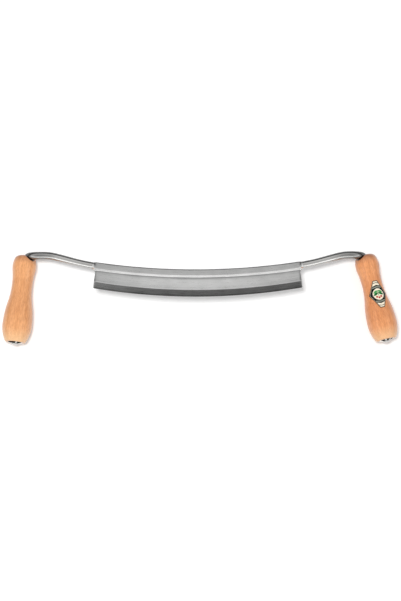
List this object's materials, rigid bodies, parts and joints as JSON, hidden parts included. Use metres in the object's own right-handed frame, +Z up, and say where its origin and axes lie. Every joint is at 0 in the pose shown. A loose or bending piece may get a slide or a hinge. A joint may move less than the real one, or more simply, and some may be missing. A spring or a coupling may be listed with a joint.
{
  "type": "curved drawknife",
  "caption": "Curved drawknife: bowed steel blade with a stepped back and bevelled edge, bent round arms and turned wooden handles with metal end caps.",
  "frame": {"origin": "middle of the tool's footprint, on the bench that it lies on, resting on its two handles", "axes": "+X along the blade, from the left handle to the right one; -Y along the handles, towards the user; +Z up, away from the bench"},
  "size_m": [0.4318, 0.1019, 0.0418],
  "materials": {
    "steel": "satin ground tool steel, with darker round arms and a dark ground bevel",
    "handle_wood": "turned beech with a thin clear lacquer",
    "cap_metal": "bright nickel plate on pressed steel",
    "label": null
  },
  "bodies": {
    "root": {"blade": "steel", "left_handle": "handle_wood", "right_handle": "handle_wood", "left_end_cap": "cap_metal", "right_end_cap": "cap_metal", "handle_label": "label"}
  },
  "joints": []
}
